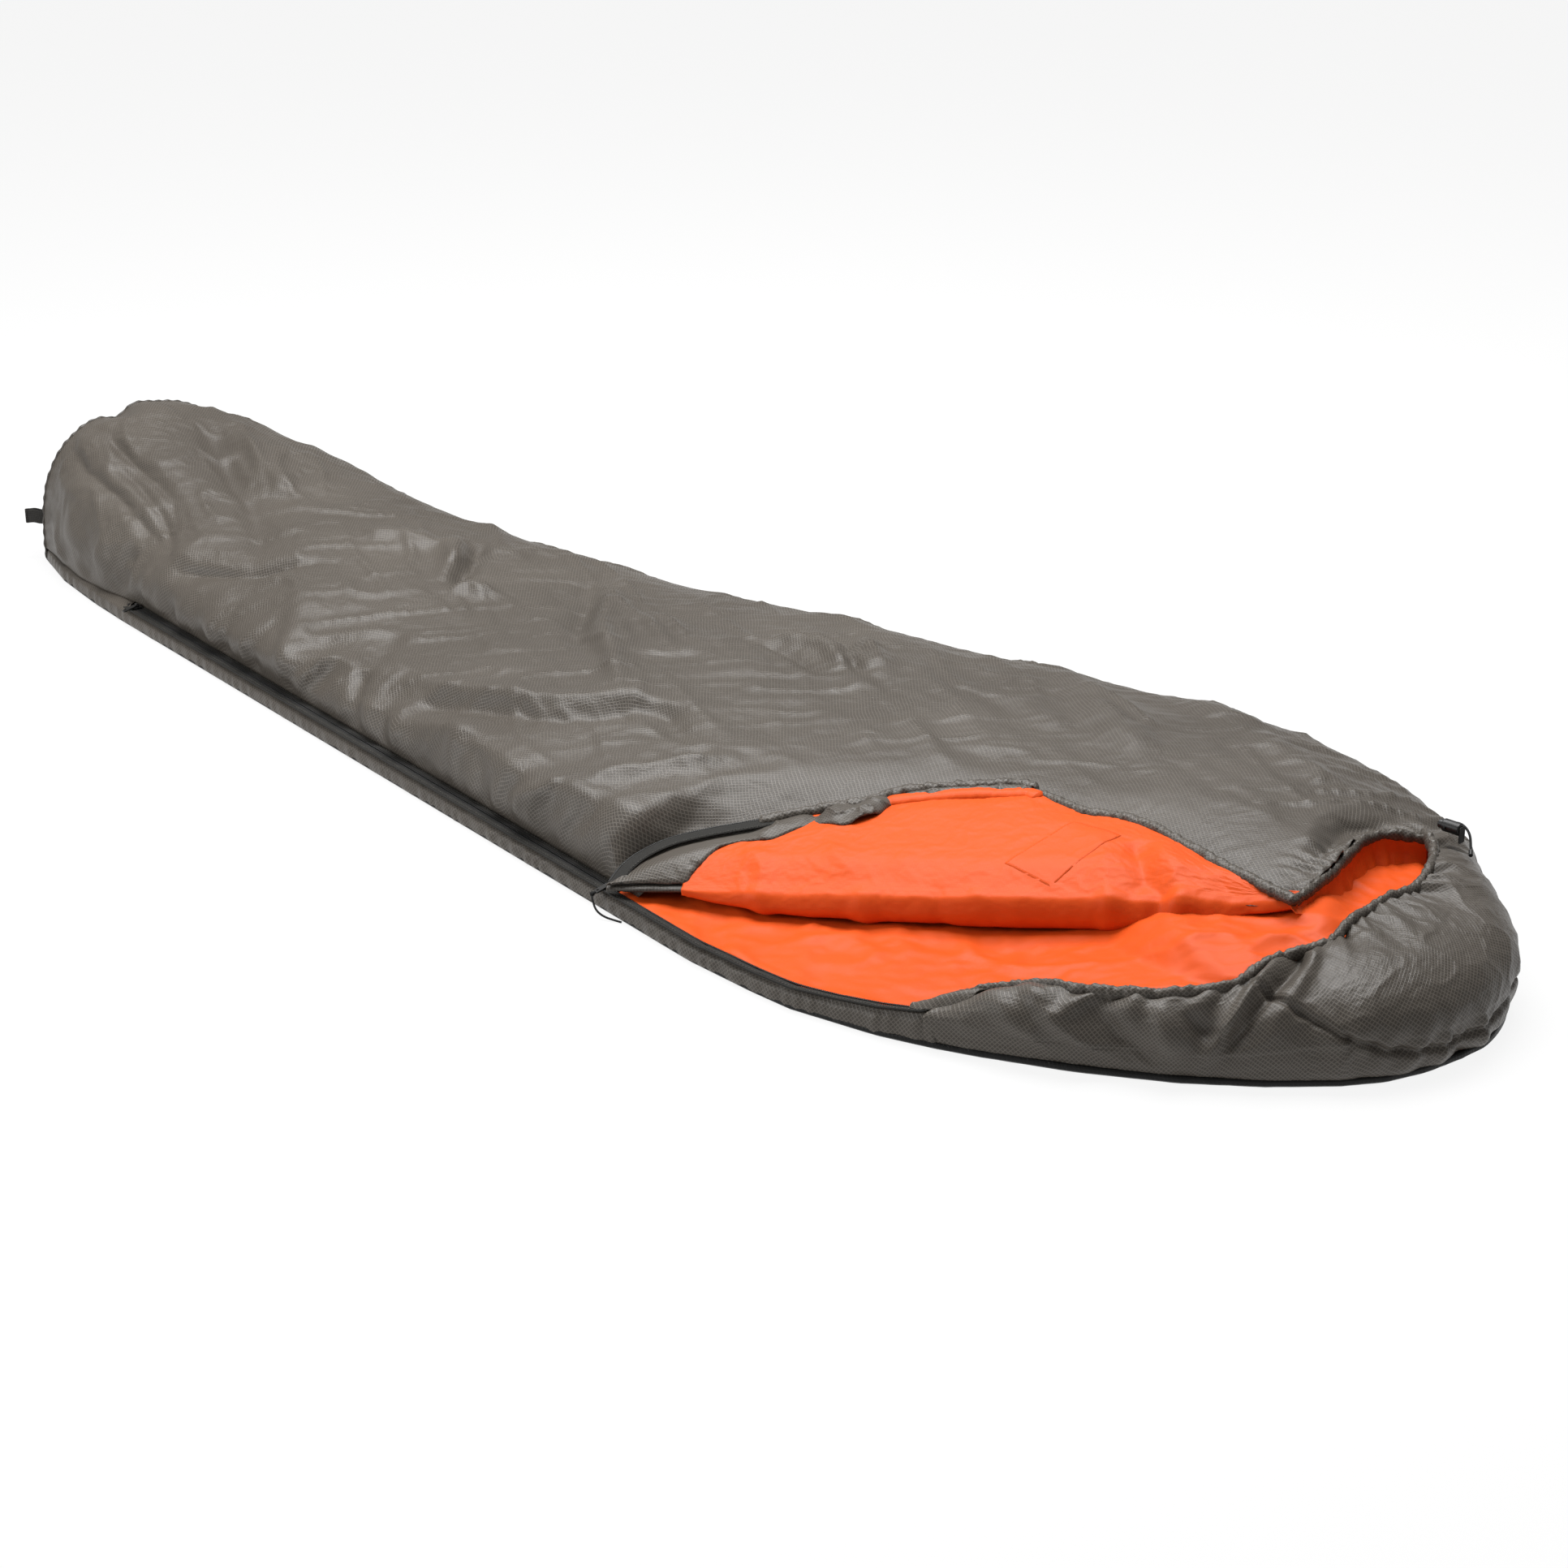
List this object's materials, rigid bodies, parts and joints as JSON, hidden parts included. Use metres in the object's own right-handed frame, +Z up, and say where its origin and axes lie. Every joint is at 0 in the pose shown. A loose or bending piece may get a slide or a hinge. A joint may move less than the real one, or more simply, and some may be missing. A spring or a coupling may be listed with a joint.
{
  "type": "bivy sack",
  "caption": "Mummy-shaped bivy sack with a raised foot box, long side zip, gathered hood and a turned-back corner showing its bright lining.",
  "frame": {"origin": "on the ground under the sack, on its centre line, about midway along its length", "axes": "+X runs from the foot to the head along the ground, +Y away from the zip side, +Z up out of the ground"},
  "size_m": [2.2106, 0.808, 0.186],
  "materials": {
    "shell_ripstop": "woven ripstop nylon, slight gloss",
    "orange_lining": "plain woven nylon, soft gloss",
    "groundsheet_nylon": "coated nylon, satin",
    "wadding": "light polyester fibre",
    "webbing": "narrow woven tape",
    "zip_tape": "knitted tape",
    "zip_coil": "moulded nylon coil",
    "cord": "braided cord",
    "black_plastic": "moulded, fine texture",
    "spring_steel": "bright wire",
    "slider_metal": "dark gunmetal lacquer",
    "pull_metal": "grey lacquer"
  },
  "bodies": {
    "sack": {"groundsheet": "groundsheet_nylon", "base_wadding": "wadding", "base_lining": "orange_lining", "side_strip": "shell_ripstop", "top_shell": "shell_ripstop", "top_wadding": "wadding", "top_lining": "orange_lining", "foot_panel": "shell_ripstop", "foot_binding": "shell_ripstop", "foot_lining": "orange_lining", "hang_loop": "webbing", "hood_shell": "shell_ripstop", "hood_wadding": "wadding", "hood_lining": "orange_lining", "hood_hem": "shell_ripstop", "hood_drawcord": "cord", "collar_hem": "shell_ripstop", "collar_drawcord": "cord", "zip_tape_lower": "zip_tape", "zip_coil_lower": "zip_coil", "zip_tape_upper": "zip_tape", "zip_coil_upper": "zip_coil", "zip_foot_stop": "zip_coil", "zip_head_stop": "zip_coil", "zip_garage": "shell_ripstop", "cord_lock_barrel": "black_plastic", "cord_lock_spring": "spring_steel", "lock_cord": "cord", "drawcord_tail": "cord", "cord_end": "black_plastic", "lock_tab": "webbing"},
    "flap": {"flap_shell": "shell_ripstop", "flap_wadding": "wadding", "flap_lining": "orange_lining", "flap_zip_tape": "zip_tape", "flap_zip_coil": "zip_coil", "flap_facing": "shell_ripstop", "inner_pocket": "orange_lining", "flap_hem": "shell_ripstop", "flap_drawcord": "cord"},
    "main_slider": {"main_slider_body": "slider_metal"},
    "main_pull": {"main_pull_tab": "pull_metal", "main_pull_knot": "cord", "main_pull_cord": "cord"},
    "foot_slider": {"foot_slider_body": "slider_metal"},
    "foot_pull": {"foot_pull_tab": "pull_metal"},
    "lock_plunger": {"cord_lock_plunger": "black_plastic"}
  },
  "joints": [
    {"name": "flap_fold", "type": "hinge", "parent": "sack", "child": "flap", "pos_m": [0.3, -0.385, 0.03], "axis": [0.8555, 0.5089, 0.0959], "range_deg": [0, 170]},
    {"name": "main_slider_slide", "type": "slide", "parent": "sack", "child": "main_slider", "axis": [0.9908, -0.1353, 0], "range_m": [-0.7, 0.15]},
    {"name": "main_pull_hinge", "type": "hinge", "parent": "main_slider", "child": "main_pull", "pos_m": [0.28, -0.36772, 0.026], "axis": [-0.9908, 0.1353, 0], "range_deg": [0, 110]},
    {"name": "foot_slider_slide", "type": "slide", "parent": "sack", "child": "foot_slider", "axis": [0.9908, -0.1353, 0], "range_m": [0, 0.3]},
    {"name": "foot_pull_hinge", "type": "hinge", "parent": "foot_slider", "child": "foot_pull", "pos_m": [-0.788, -0.22194, 0.026], "axis": [-0.9908, 0.1353, 0], "range_deg": [0, 110]},
    {"name": "cord_lock_press", "type": "slide", "parent": "sack", "child": "lock_plunger", "axis": [1, 0, 0], "range_m": [0, 0.004], "stiffness_N_per_m": 400, "springref_m": -0.003, "deforming": ["cord_lock_spring"]}
  ]
}
